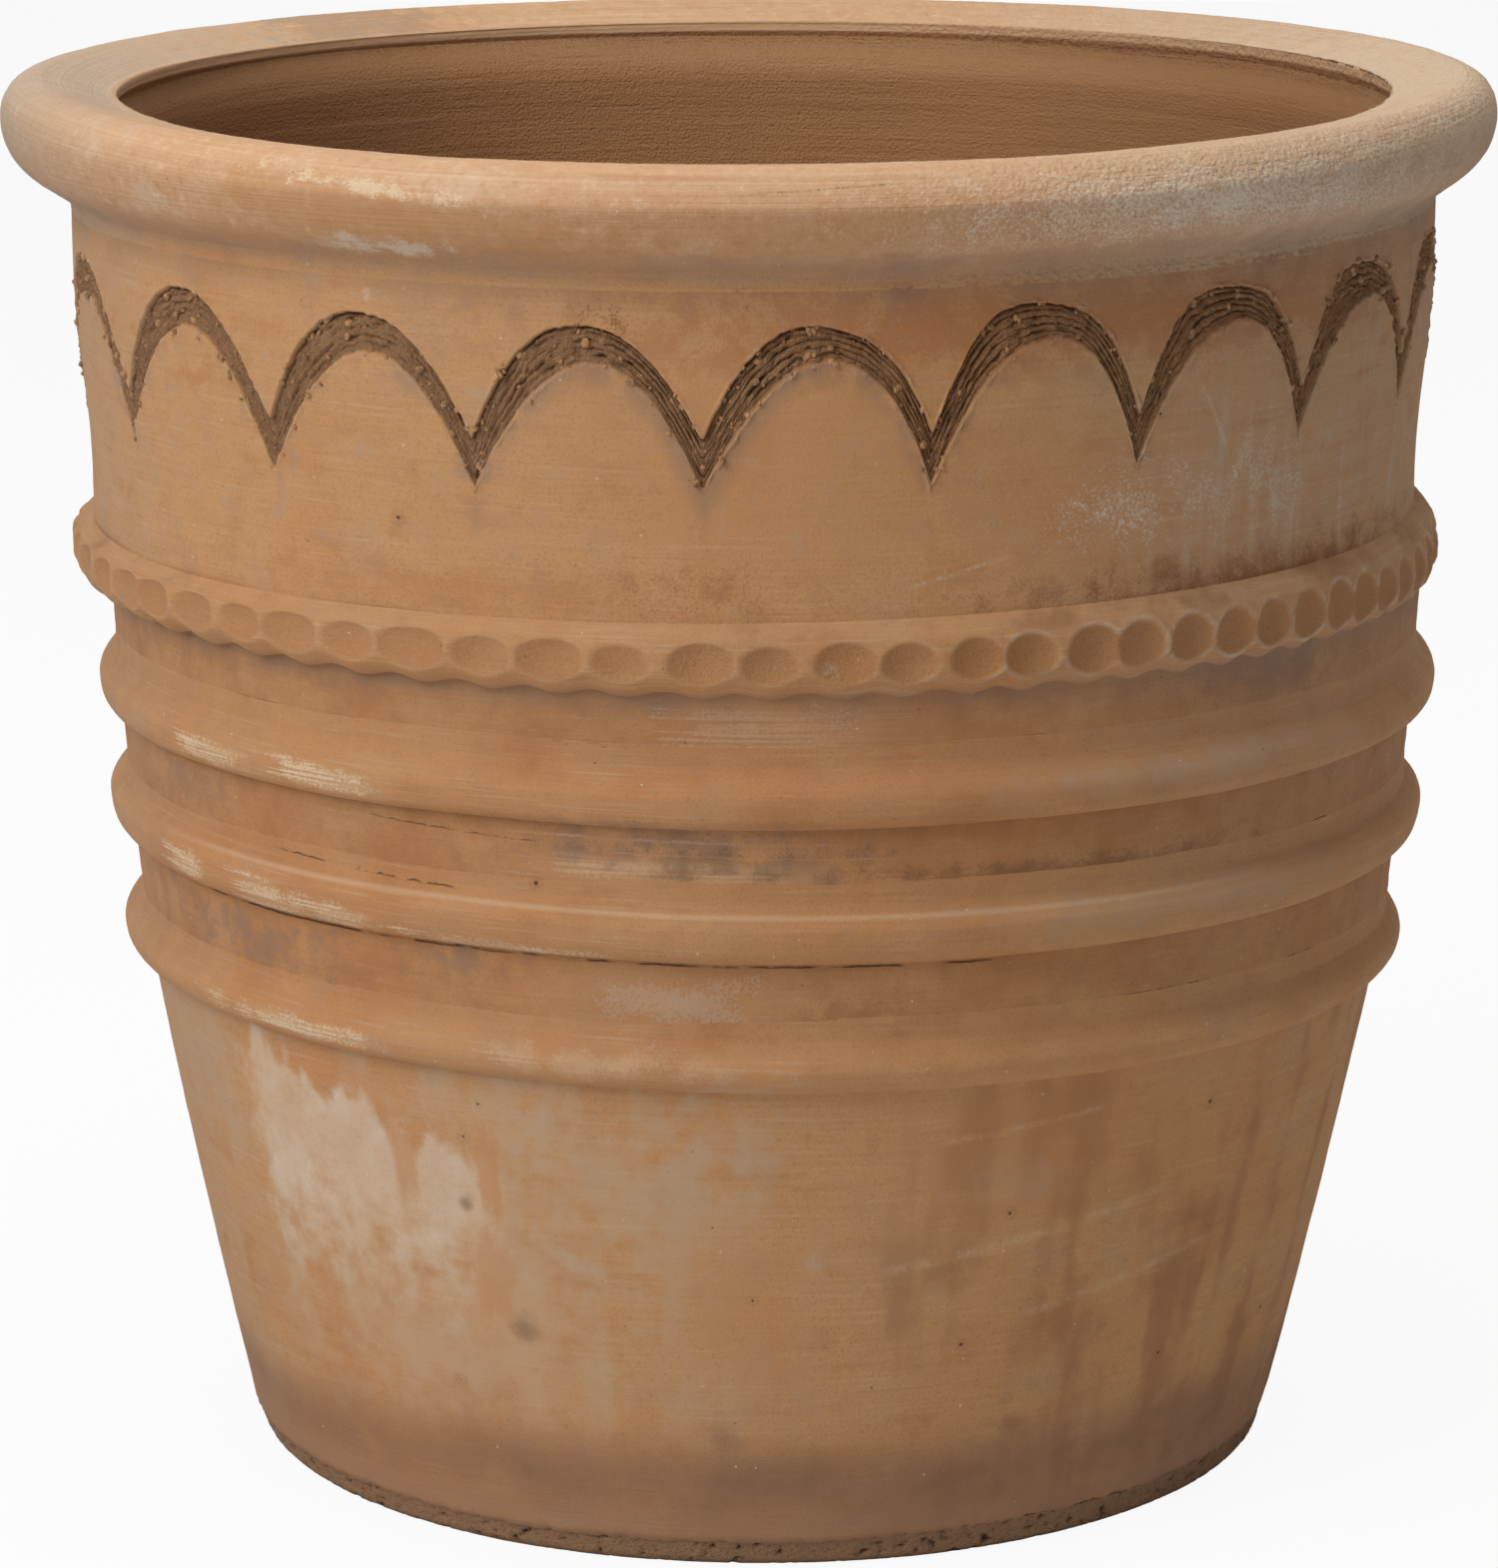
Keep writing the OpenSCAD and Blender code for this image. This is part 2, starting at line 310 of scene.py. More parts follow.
def throwPiece(name, node, outline, sizes, marks, material):
    mesh = bpy.data.meshes.new(name + "Outline")
    mesh.from_pydata([(r, 0, z) for r, z, inside in outline], [], [])
    steps = [math.dist(a[:2], b[:2]) for a, b in zip(outline, outline[1:])]
    runs = [sum(steps[:i]) for i in range(len(outline))]
    for key, values in {"inside": [p[2] for p in outline], "run": runs}.items():
        mesh.attributes.new(key, "FLOAT", "POINT").data.foreach_set("value", values)
    piece = addPiece(name, mesh)
    sizes = {**sizes, "rows": len(outline)}
    runTree(piece, turnedTree(name + "Tree", sizes, marks, material), sizes)
    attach(piece, "root")
    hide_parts(node)
    print(name, "thrown:", len(piece.data.polygons), "faces")
    return piece


hand = dict(swell=1.0, swellMm=130, lump=0.6, lumpMm=28, lineAz=25, lineMm=4, throwAz=60, throwMm=17,
            throwDepth=2.4, grainMm=2.6)


def handMarks(at, place, along):  # slow wobble, lumps, wheel lines and grain, in mm
    s, h = at.sizes, SimpleNamespace(**hand)
    slow = place.grit(h.swellMm, 1) * h.swell
    lumps = place.grit(h.lumpMm, 2, seed=3) * h.lump
    lines = drawn(at.az, along, h.lineAz, h.lineMm, 3, seed=5) * s.line
    throwing = drawn(at.az, along, h.throwAz, h.throwMm, 1, seed=8) * at.inside * h.throwDepth
    grain = place.grit(h.grainMm, 2, seed=7) * s.grain
    return slow + lumps + lines + throwing + grain


# Clay finishes

tan = srgb(196, 148, 101)
warm = srgb(193, 138, 91)
rust = srgb(172, 112, 70)
brown = srgb(150, 108, 74)
umber = srgb(116, 84, 58)
grey = srgb(182, 154, 128)
mauve = srgb(142, 117, 100)
soot = srgb(82, 61, 46)
buff = srgb(212, 180, 142)
lime = srgb(222, 198, 166)
chalk = srgb(216, 204, 188)


class Finish:  # a clay surface as it builds up: colour, and relief in mm
    def __init__(self, name, along="z"):
        self.material = bpy.data.materials.new(name)
        self.w = emptyTree(self.material)
        self.place = self.w.node("ShaderNodeTexCoord", out="Object").times((1 / mm, 1 / mm, 1 / mm))
        x, y, self.z = self.place.split()
        self.az = self.w.maths("ARCTAN2", x, y * -1) * (180 / math.pi)
        self.side = self.az.sin()  # 1 at the right
        self.along = self.z if along == "z" else self.kept(along)
        self.inside = self.kept("inside")
        grit = self.place.grit
        self.clouds = grit(110, 3, seed=1)
        self.blotch = grit(30, 3, seed=4)
        self.mottle = grit(10, 5, seed=31, crisp=0.62)
        self.patina = grit(24, 5, seed=36, crisp=0.66)
        self.sand = grit(0.9, 2, seed=9)
        self.coarse = drawn(self.az, self.along, 24, 5, 3, seed=2)
        self.fine = drawn(self.az, self.along, 9, 0.9, 2, seed=6)  # brushed along the wheel
        self.drip = drawn(self.az, self.z, 1.6, 70, 2, seed=33)  # run down the wall

    def kept(self, key):
        return self.w.node("ShaderNodeAttribute", out="Fac", attribute_name=key)

    def cover(self, share, colour):
        self.colour = self.colour.paint(share, colour)
        return self

    def raised(self, height):
        self.relief = self.relief + height
        return self

    def flecks(self):
        dots = self.place.dots
        pale = dots(6, 0.32, 0.065, seed=21)
        dark = dots(7, 0.3, 0.06, seed=22)
        pits = dots(22, 0.4, 0.03, seed=23)
        pitted = dots(22, 0.4, 0.13, seed=23)
        smudge = dots(36, 0.45, 0.17, seed=24) * (self.mottle + self.sand * 0.8).ease(-0.02, 0.2)
        self.cover(smudge * 0.4, srgb(192, 174, 152))
        self.cover(pitted * (self.sand + 0.5) * 0.35, brown)
        self.cover(pale * 0.6, chalk)
        self.cover(dark * 0.5, soot)
        self.cover(pits * 0.85, soot)
        return self.raised(pits * -0.5)

    def lined(self):  # the thrown inside of the pot
        lines = drawn(self.az, self.along, 50, 6, 3, seed=41)
        scrape = drawn(self.az, self.along, 5, 0.8, 3, seed=42)
        inside = self.inside
        self.cover(inside * 0.9, srgb(168, 123, 83))
        # painted shade: the inside is darker towards its left and right ends
        self.cover(inside * self.side.size().ease(0.25, 0.95) * 0.4, srgb(122, 82, 51))
        self.cover(inside * lines.ease(0.03, 0.22) * 0.3, brown)
        self.cover(inside * lines.ease(-0.04, -0.25) * 0.3, srgb(184, 136, 94))
        self.cover(inside * scrape.ease(0.05, 0.25) * 0.2, srgb(126, 88, 56))
        self.cover(inside * (self.sand + scrape * 0.4).ease(-0.15, -0.4) * 0.5, srgb(190, 146, 104))
        return self.raised(inside * (scrape * 0.25 + lines * 0.8 + self.sand * 0.5))

    def patch(self, azFrom, azTo, zFrom, zTo, soft=0.4, rough=2.0, grain=0.6, thin=0.0,
              brushed=0.0, drips=0.0, tilt=0.0):
        # a field that breaks up towards its edge, brushed along the wheel or run down the wall
        azMid, zMid = (azFrom + azTo) / 2, (zFrom + zTo) / 2
        az = (self.az + self.fine * brushed - azMid) / ((azTo - azFrom) / 2)
        z = (self.z + self.drip * drips - (self.az - azMid) * tilt - zMid) / ((zTo - zFrom) / 2)
        away = ((az * az) ** 2 + (z * z) ** 2).root().root()
        return (1 - thin - away + self.mottle * rough + self.sand * grain).ease(0, soft)

    def smear(self, share, colour, *limits, **edges):
        return self.cover(self.patch(*limits, **edges) * share, colour)

    def dash(self, share, *limits, tilt=0.0):  # lime wiped on by a finger
        field = self.patch(*limits, 0.6, 1.5, 0.8, brushed=12, tilt=tilt)
        weave = (self.fine + self.sand * 0.6).ease(-0.12, 0.14)
        return self.cover(field * (weave * 0.75 + 0.25) * share, lime)

    def scratch(self, azFrom, azTo, zFrom, zTo, width, wander=2.5):  # a thin line from one place to another
        part = (self.az - azFrom) / (azTo - azFrom)
        course = part * (zTo - zFrom) + zFrom + self.mottle * wander
        return self.z.bell(course, width) * part.between(0, 1, 0.06)

    def scuff(self, share, colour, *line):
        return self.cover(self.scratch(*line) * (self.mottle + self.sand).ease(-0.15, 0.2) * share, colour)

    def crack(self, share, *line):
        gap = self.scratch(*line, wander=4) * (self.mottle + 0.5).ease(0.4, 0.56)
        return self.raised(gap * -share).cover(gap * share, soot)

    def spot(self, share, az, z, width, mmPerDegree=3.6):
        away = ((self.az - az) * mmPerDegree) ** 2 + (self.z - z) ** 2
        return self.cover((away.root() + self.mottle * width * 1.5).ease(width, 0) * share, soot)

    def close(self):
        bump = self.w.node("ShaderNodeBump", {"Strength": 1.0, "Distance": mm, "Height": self.relief})
        shader = self.w.node("ShaderNodeBsdfPrincipled", {
            "Base Color": self.colour, "Roughness": self.blotch * 0.12 + 0.9, "Normal": bump,
            "Specular IOR Level": 0.2})
        self.w.node("ShaderNodeOutputMaterial", {"Surface": shader})
        return self.material


def bareClay(name, along="z"):  # the clouds, dust and wear that all the members share
    f = Finish(name, along)
    f.colour = f.w.node("ShaderNodeRGB")
    f.colour.socket.default_value = tan
    f.cover((f.clouds + f.blotch * 0.5).ease(-0.06, 0.22) * 0.8, warm)
    f.cover((f.blotch + f.coarse * 0.4).ease(0.06, 0.36) * 0.4, brown)
    f.cover((f.coarse - f.blotch * 0.5).ease(0.1, 0.42) * 0.18, lime)
    dust = f.side.ease(0.2, 0.72) * f.z.ease(110, 340) * 0.6 + f.side.ease(-0.8, -0.96) * 0.5
    f.cover(dust * (f.mottle + f.drip * 0.6 + 0.85), grey)
    f.cover(f.mottle.ease(0.03, 0.24) * 0.36, srgb(176, 147, 121))
    f.cover(f.mottle.ease(-0.03, -0.24) * 0.4, warm)
    worn = (f.patina - f.blotch * 0.4).ease(0.02, 0.22)
    f.cover(worn * 0.34, srgb(168, 138, 113))
    f.cover((f.patina + f.coarse * 0.4).ease(-0.04, -0.26) * 0.42, rust)
    f.cover(f.fine.ease(0.02, 0.3) * 0.22, brown)
    f.cover(f.fine.ease(-0.05, -0.3) * 0.18, lime)
    f.cover(f.sand.ease(0.0, 0.22) * 0.36, brown)
    f.cover(f.sand.ease(0.0, -0.22) * 0.18, grey)
    back = f.az.cos().ease(0.1, -0.4)
    f.cover(back * (f.clouds - f.blotch).ease(0.05, 0.25) * 0.5, warm)
    f.cover(back * (f.blotch + f.drip * 0.5 + f.mottle * 0.6).ease(0.08, 0.3) * 0.5, lime)
    f.relief = f.sand * 0.14 + f.fine * 0.1
    return f


# Rim

rim = dict(
    columns=900, leanX=-3.4, leanLow=-1.8, line=0.25, grain=0.3,
    crumble=1.6, rise=1.2, dip=3.7, wornEdge=2.6, sideTilt=0.6,
)
rimShape = dict(
    rollRadius=11.5, underRadius=21.5, underTurn=-58, lipTurn=105, filletLow=424.5, filletZ=428.8,
    filletPart=0.2, filletSteps=12, mouthRadius=213.2, lipZ=461, lipHeight=3.4, lipTaper=1.4,
    undercut=0.5, tuckIn=4, tuckDown=5,
)


def rimOutline():
    s = SimpleNamespace(**rimShape)
    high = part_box("rim_roll")[1]
    widest, top = high.x / mm, high.z / mm
    roll = (widest - s.rollRadius, top - s.rollRadius)
    under = (widest - s.underRadius, roll[1])
    bend = turn(under, s.underRadius, s.underTurn, 0, 1)[0]
    lipBend = turn(roll, s.rollRadius, s.lipTurn, 180, 1)[0]
    foot = (outerRadius(s.filletLow) + 0.05, s.filletLow)
    corner = (foot[0], s.filletZ)
    out = [corner[i] + (bend[i] - corner[i]) * s.filletPart for i in (0, 1)]
    fillet = []
    for step in range(s.filletSteps):
        t = step / s.filletSteps
        parts = ((1 - t) ** 2, 2 * t * (1 - t), t * t)
        r, z = [sum(p * c[i] for p, c in zip(parts, (foot, corner, out))) for i in (0, 1)]
        fillet.append((r, z, 0.0))
    tucked = (foot[0] - s.tuckIn, foot[1] - s.tuckDown)
    lipTop = (s.mouthRadius, s.lipZ)
    lipLow = (s.mouthRadius, s.lipZ - s.lipHeight)
    behind = (s.mouthRadius + s.undercut, lipLow[1] - s.lipTaper)
    return (run(tucked, tucked, 1) + [(foot[0] - 0.9, foot[1] - 3, 0.0)] + fillet + run(out, bend, 10)
            + turn(under, s.underRadius, s.underTurn, 0, 22)
            + turn(roll, s.rollRadius, 0, s.lipTurn, 26)
            + run(lipBend, lipTop, 18) + run(lipTop, lipLow, 6, 1.0) + run(lipLow, behind, 3, 1.0)
            + run(behind, tucked, 3, 1.0))


def rimMarks(at):
    s = at.sizes
    lip = (at.r - rimShape["mouthRadius"]).bell(0, 5)
    broken = at.place.grit(6, 3, seed=9) * lip * (at.az.bell(95, 45) + 0.25) * s.crumble
    lean = s.leanLow + (s.leanX - s.leanLow) * at.z.ease(422, 440)
    front = at.ahead.ease(0.2, 1)  # where the crest is lower and its edge is worn round
    crest = (s.rise - front * s.dip) * at.r.ease(214, 232)
    crest = (crest - front * s.wornEdge * at.r.ease(234, 248)) * at.z.ease(446, 461)
    return dict(out=handMarks(at, at.place, at.run) + broken, lean=lean, lift=at.side * s.sideTilt + crest,
                keep=dict(inside=at.inside * at.z.ease(458.2, 456.8), lip=at.inside))


def rimClay():
    f = bareClay("rimClay", "run")
    onRoll = (f.z + f.mottle * 8).ease(430, 441)
    speckle = f.place.grit(4, 5, seed=53, crisp=0.7)
    f.cover(onRoll * 0.85, srgb(196, 152, 115))
    f.cover((f.patina + f.mottle * 0.5).ease(0.0, 0.2) * onRoll * 0.75, srgb(188, 138, 95))
    f.cover((f.patina - f.mottle * 0.5).ease(-0.02, -0.2) * onRoll * 0.5, srgb(204, 176, 148))
    f.cover(speckle.ease(0.02, 0.2) * onRoll * 0.6, srgb(172, 124, 83))
    f.cover(speckle.ease(-0.03, -0.2) * onRoll * 0.5, srgb(216, 188, 156))
    toast = srgb(186, 136, 90)
    lines = drawn(f.az, f.along, 30, 1.1, 3, seed=51)
    # paler rim top: partly lime bloom, partly painted light where the top faces up
    f.cover((f.z + f.mottle * 10).ease(450, 462) * 0.25, buff)
    f.cover(f.side.ease(0.14, 0.86) * 0.5, srgb(196, 172, 148))
    f.cover(lines.ease(0.02, 0.2) * f.z.ease(448, 458) * 0.3, srgb(178, 142, 106))
    f.cover(lines.ease(-0.03, -0.2) * f.z.ease(448, 458) * 0.25, srgb(222, 196, 164))
    f.cover(f.az.bell(-84, 40) * 0.8, srgb(174, 154, 134))
    f.smear(0.55, toast, -46, -6, 434, 456, 0.5, 2.0, 0.8, tilt=-0.4)
    f.smear(0.5, toast, -20, 22, 436, 456, 0.7, 2.6, 1.2, 0.1)
    f.smear(0.4, srgb(196, 134, 84), 4, 26, 449, 459, 0.8, 2.0, 0.8, 0.2, brushed=10)
    f.smear(0.35, rust, -13, -1, 459.3, 461.7, 0.6, 1.5, brushed=14)
    f.smear(0.7, lime, -42, -13, 450.5, 458.5, 0.7, 3.4, 1.6, 0.45, tilt=-0.45)
    f.smear(0.7, srgb(226, 212, 193), 8, 66, 436, 461, 1.2, 1.5, 3.2, 0.05)
    f.smear(0.6, srgb(208, 184, 156), 44, 140, 444, 484, 0.7, 2.2, 1.0, 0.05)
    f.smear(0.7, srgb(190, 167, 143), -150, -60, 446, 484, 0.7, 2.4, 1.0, 0.1)
    f.scuff(0.6, soot, -1, 9.5, 456.4, 458.6, 0.5)
    shade = (f.z + f.mottle * 10).bell(431, 9) * f.z.ease(424.5, 428.5)
    f.cover(shade * (f.blotch * 1.2 + f.sand * 0.6 + 0.5), srgb(158, 131, 112))
    f.smear(0.6, chalk, -36, -19, 431, 441, 0.8, 3.2, 1.6, 0.35, brushed=4)
    f.smear(0.4, mauve, -152, -128, 452, 486, 0.6)
    # painted light: the lip face is painted paler than its clay to offset the shade it sits in; the
    # mid-brown on the right is its own colour
    f.cover(f.kept("lip") * 0.85, srgb(220, 178, 138))
    f.cover(f.kept("lip") * f.side.ease(0.0, 0.7) * 0.45, srgb(160, 122, 90))
    f.raised(lines * 0.35).raised(f.place.grit(1.8, 2, seed=52) * (f.side.ease(0, 0.5) * 0.9 + 0.2))
    return f.flecks().lined().close()


# Upper wall with the combed garland

garland = dict(
    columns=1300, leanX=-1.8, line=0.2, grain=0.2,
    arches=19, firstCusp=13.7, apexZ=413.4, archFall=34.8, strokeApex=11.5, strokeFall=38.8,
    archPower=2.25, strokePower=2.0, rounder=0.8, riseApex=0.6, riseRight=4.5, riseCusp=5.0,
    thin=6.0, skew=2.6, teeth=5, floorDepth=1.0, toothDepth=1.2, tear=3.8, burr=1.0,
)
garlandDrift = dict(side=0.71, ahead=4.96, twice=1.94, shift=3.92)  # the potter's uneven spacing
garlandRows = dict(lowZ=317, highZ=437, strokeLow=384, strokeHigh=400, edge=4)


def upperOutline():
    g = garlandRows
    low, high, edge = g["strokeLow"], g["strokeHigh"], g["edge"]
    outside = climb(outerRadius, g["lowZ"], low - edge, 16) + climb(outerRadius, low - edge, low, 6)
    outside += climb(outerRadius, low, high, 30) + climb(outerRadius, high, high + edge, 6)
    outside += climb(outerRadius, high + edge, g["highZ"], 8)
    back = climb(innerRadius, wall["topZ"] + 8, wall["upperJointZ"] - 2, 9, 1.0)
    return outside + [(outerRadius(g["highZ"]) - 2, g["highZ"] + 10, 0.0)] + back


def garlandMarks(at):
    s, g, d = at.sizes, SimpleNamespace(**garlandRows), SimpleNamespace(**garlandDrift)
    drift = at.side * d.side + at.ahead * d.ahead - (at.az * 2).sin() * d.twice - d.shift
    phase = (at.az - s.firstCusp - drift) * s.arches / 360
    arch = phase.floor()
    one = arch.maths("FLOORED_MODULO", arch, s.arches)
    side = (phase - arch) * 2 - 1
    x = side.size()
    crown = 1 - side * side
    right = at.side.ease(0.08, 0.36)
    rise = at.side * s.riseApex + right * s.riseRight
    rise = rise + (at.side * s.riseCusp - rise) * x * x + drawn(at.az, 0.0, 6, 1, 2, seed=4) * 1.2
    ragged = drawn(at.az, 0.0, 0.7, 1, 2, seed=24) * 1.8
    frayed = drawn(at.az, 0.0, 0.6, 1, 2, seed=25) * 2.6
    highPower = s.archPower + right * s.rounder
    lowPower = s.strokePower + right * s.rounder * 0.5
    highEdge = s.apexZ - s.archFall * x ** highPower + rise - side * crown * s.skew + ragged
    lowEdge = s.apexZ - s.strokeApex - s.strokeFall * x ** lowPower + rise
    lowEdge = lowEdge + side * crown * s.thin + frayed + (one.chance(7) - 0.5) * crown * 3
    outside = 1 - at.inside
    across = (at.z - g.strokeLow) / (g.strokeHigh - g.strokeLow)  # 0 to 1 across the stroke
    lowPart = ((at.z - g.lowZ) / (g.strokeLow - g.lowZ)).atLeast(0).atMost(1)
    highPart = ((at.z - g.strokeHigh) / (g.highZ - g.strokeHigh)).atLeast(0).atMost(1)
    z = g.lowZ + (lowEdge - g.lowZ) * lowPart
    z = z + (highEdge - lowEdge) * across.atLeast(0).atMost(1) + (g.highZ - highEdge) * highPart
    z = z * outside + at.z * at.inside
    r = flaredRadius(z) * outside + at.r * at.inside
    place = onWheel(at, r, z)
    steep = (1 + x * x * 4).root()
    below = (lowEdge - z) / steep
    above = (z - highEdge) / steep
    stroke = across.ease(-0.01, 0.06) * across.ease(1.01, 0.97) * outside
    torn = place.grit(2.0, 3, seed=8)
    pulled = drawn(at.az, across * 10, 1.4, 1.2, 2, seed=6)  # dragged along the stroke
    comb = ((across + place.grit(9, 2, seed=6) * 0.08) * s.teeth * 360).cos() * 0.5 + 0.5
    teeth = comb * comb * place.grit(9, 3, seed=18).ease(-0.12, 0.14)
    chunk = place.grit(4.2, 2, seed=12).ease(0.04, 0.16) * x.ease(0.8, 0.2)
    depth = s.floorDepth + teeth * s.toothDepth * (1 + torn) + torn * s.tear + pulled * 2.8
    depth = depth + chunk * 0.9 + across.bell(0.96, 0.09) * 0.8 + across * 0.4
    crumbly = place.grit(2.2, 3, seed=14).ease(-0.06, 0.22)
    lips = (below.bell(0.6, 1.3) + above.bell(0.5, 1.2)) * crumbly * outside
    out = handMarks(at, place, z) - depth * stroke + lips * s.burr
    halo = (below.ease(11, 1) + above.ease(7, 1)).atMost(1) * outside
    return dict(r=r, z=z, out=out, lean=s.leanX,
                keep=dict(stroke=stroke, across=across.atLeast(0).atMost(1), lips=lips, halo=halo,
                          groove=((depth - 1.5) * 0.5).atLeast(0).atMost(1) * stroke,
                          under=below.ease(10, 0) * below.ease(-1, 1) * outside))


def upperClay():
    f = bareClay("upperClay")
    stroke, groove = f.kept("stroke"), f.kept("groove")
    f.smear(0.55, warm, -18, 26, 318, 432, 0.8, 2.2, 0.2)
    f.smear(0.72, rust, -28, 76, 392, 432, 0.9, 2.2, 0.5)
    f.smear(0.4, srgb(190, 126, 76), 8, 44, 318, 396, 0.9, 2.6, 0.4, 0.1)
    # mauve under the rim roll: partly the wall's own mauve tone, partly painted shade
    f.cover((f.z + f.mottle * 12).ease(412, 426) * (f.blotch * 1.2 + 0.3), mauve)
    stain = f.kept("under") * (f.mottle + f.az.bell(-5, 30) * 0.25).ease(-0.05, 0.25)
    f.cover(stain * 0.6, mauve)
    f.cover(f.kept("halo") * (f.mottle + f.sand * 0.5).ease(0.05, 0.3) * 0.5, grey)
    f.smear(0.45, chalk, -38, -27, 411, 427, 0.6, 3.0, 1.4, 0.6, brushed=6)
    f.smear(0.5, soot, -16, -7, 404, 426, 0.6, 3.2, 2.0, 0.75)
    streaks = (f.drip + f.mottle * 0.4).ease(0.06, 0.3) * f.az.between(32, 78, 8)
    f.cover(streaks * f.z.between(325, 400, 12) * 0.65, srgb(188, 164, 142))
    f.smear(0.45, chalk, 22, 38, 334, 372, 1.0, 1.8, 3.2, 0.45)
    f.scuff(0.5, chalk, 25, 35, 356, 340, 1.4)
    f.scuff(0.45, chalk, 36.5, 42, 394, 357, 2.0)
    f.scuff(0.45, chalk, 12, 20, 332, 340, 1.2)
    f.smear(0.28, umber, -16, 5, 314, 348, 0.8, 2.6, 1.6, 0.5)
    f.smear(0.85, srgb(138, 88, 52), 12, 84, 308, 338, 1.0, 2.2, 1.0, 0.1, drips=8)
    f.smear(0.4, srgb(168, 112, 68), -62, 14, 316, 342, 0.9, 2.4, 0.6, 0.1, brushed=6)
    f.smear(0.55, chalk, 16, 68, 326, 384, 1.4, 1.4, 3.4, 0.42, drips=60)
    f.smear(0.5, warm, 22, 62, 350, 432, 0.9, 3.0, 0.8, 0.5)
    f.flecks()
    tint = f.place.grit(2.2, 4, seed=63, crisp=0.65)
    grain = f.place.grit(1.1, 3, seed=67, crisp=0.6)
    across = f.kept("across") + f.place.grit(8, 2, seed=66) * 0.08
    comb = (across * garland["teeth"] * 360).cos() * 0.5 + 0.5
    comb = comb * (f.side.ease(-0.75, -0.1) * 0.6 + 0.4)
    hair = (across * 13 * 360).cos() * 0.5 + 0.5
    scored = (comb ** 5 * 0.85 + hair * 0.16 + grain * 1.2 + f.mottle * 1.2).ease(0.38, 0.95)
    # undercut: painted shadow under the stroke's upper edge
    undercut = across.ease(0.9, 0.97) * (f.mottle + 0.7)
    f.cover(stroke * 0.92, srgb(150, 112, 80))
    f.cover(stroke * f.side.ease(-0.3, 0.25) * 0.6, srgb(172, 122, 80))
    f.cover(stroke * tint.ease(0.04, 0.22) * 0.55, srgb(190, 146, 104))
    f.cover(stroke * tint.ease(-0.06, -0.24) * 0.45, srgb(118, 87, 61))
    f.cover(stroke * f.mottle.ease(0.06, 0.25) * 0.35, grey)
    # painted shade in the stroke's deeper parts
    f.cover(groove.ease(0.1, 0.9) * 0.36, srgb(98, 71, 50))
    f.cover(stroke * (1 - hair + grain * 1.4).ease(0.75, 1.2) * 0.35, srgb(196, 158, 120))
    # comb grooves (scored) and the upper edge (undercut) painted dark: partly the stroke's dark clay,
    # partly painted shade
    f.cover(stroke * scored.atLeast(undercut * 0.8) * 0.66, srgb(78, 56, 40))
    f.cover(f.kept("lips") * (f.mottle + f.sand).ease(-0.1, 0.2) * 0.6, lime)
    return f.raised(stroke * (grain * 1.6 + tint * 0.8 - scored * 0.6)).lined().close()


# Crumbs that the comb left along the strokes

squareMmPerM = 1e6
crumbs = dict(perSquareMm=0.6, smallest=0.35, largest=3.2, seed=7)


def crumbTree(material):
    w, wallMesh, given = newTree("combCrumbsTree", "Wall", crumbs)
    density = (w.named("lips") + w.named("stroke") * 0.12) * given.perSquareMm * squareMmPerM
    points = w.node("GeometryNodeDistributePointsOnFaces",
                    {"Mesh": wallMesh, "Density": density, "Seed": given.seed})

    def draw(low, high, seed):
        return w.node("FunctionNodeRandomValue", {"Min_001": low, "Max_001": high, "Seed": seed},
                      "Value_001", data_type="FLOAT")

    part = draw(0.0, 1.0, 3)
    size = (given.smallest + (given.largest - given.smallest) * part ** 6) * mm
    shape = w.vector(size * draw(0.7, 1.6, 4), size, size * draw(0.5, 1.0, 5))
    spin = w.vector(draw(0.0, 6.3, 6), draw(0.0, 6.3, 8), draw(0.0, 6.3, 9))
    crumb = w.node("GeometryNodeMeshIcoSphere", {"Radius": 0.5, "Subdivisions": 1})
    geometry = w.node("GeometryNodeInstanceOnPoints",
                      {"Points": points, "Instance": crumb, "Rotation": spin, "Scale": shape})
    return closeTree(w, geometry, material)


def scatterCrumbs(upperWall, material):
    piece = addPiece("combCrumbs", upperWall.data.copy())
    runTree(piece, crumbTree(material), crumbs)
    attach(piece, "root")
    print("combCrumbs scattered:", len(piece.data.polygons), "faces")


def crumbClay():
    f = bareClay("crumbClay")
    tint = f.place.grit(3, 2, seed=65)
    f.cover(tint.ease(-0.1, 0.1) * 0.7, srgb(128, 96, 68))
    f.cover(tint.ease(0.1, 0.25) * 0.5, soot)
    return f.close()


# Thumbed band

band = dict(
    columns=1188, leanX=-1.5, tilt=-1.2, grain=0.22,
    prints=66, thumbRadius=16.5, printDepth=2.8, printZ=-0.3, printRim=0.5, droop=1.5, ledge=3.7,
)
bandShape = dict(above=12, below=10.4, abovePower=3.0, belowPower=2.6, steps=56)
bandDrift = dict(side=1.118, ahead=0.853, twiceSine=0.611, twiceCosine=0.434, shift=13.075)


def bandMiddle():
    low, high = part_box("thumbed_band")
    return high.x / mm, (low.z + high.z) / 2 / mm


def bandOutline():
    s = bandShape
    crest, middleZ = bandMiddle()
    rows = []
    for z in crowded(middleZ - s["below"], middleZ + s["above"], s["steps"]):
        base = outerRadius(z) if z < wall["upperJointZ"] else wall["flareLow"]
        side, power = ("below", "belowPower") if z < middleZ else ("above", "abovePower")
        lift = (crest - base) * (1 - min(1, abs(z - middleZ) / s[side]) ** s[power])
        rows.append((base + lift, z, 0.0))
    first, last = rows[0], rows[-1]
    return [(first[0] - 3, first[1] - 0.5, 0.0)] + rows + [(last[0] - 3, last[1] + 1, 0.0)]


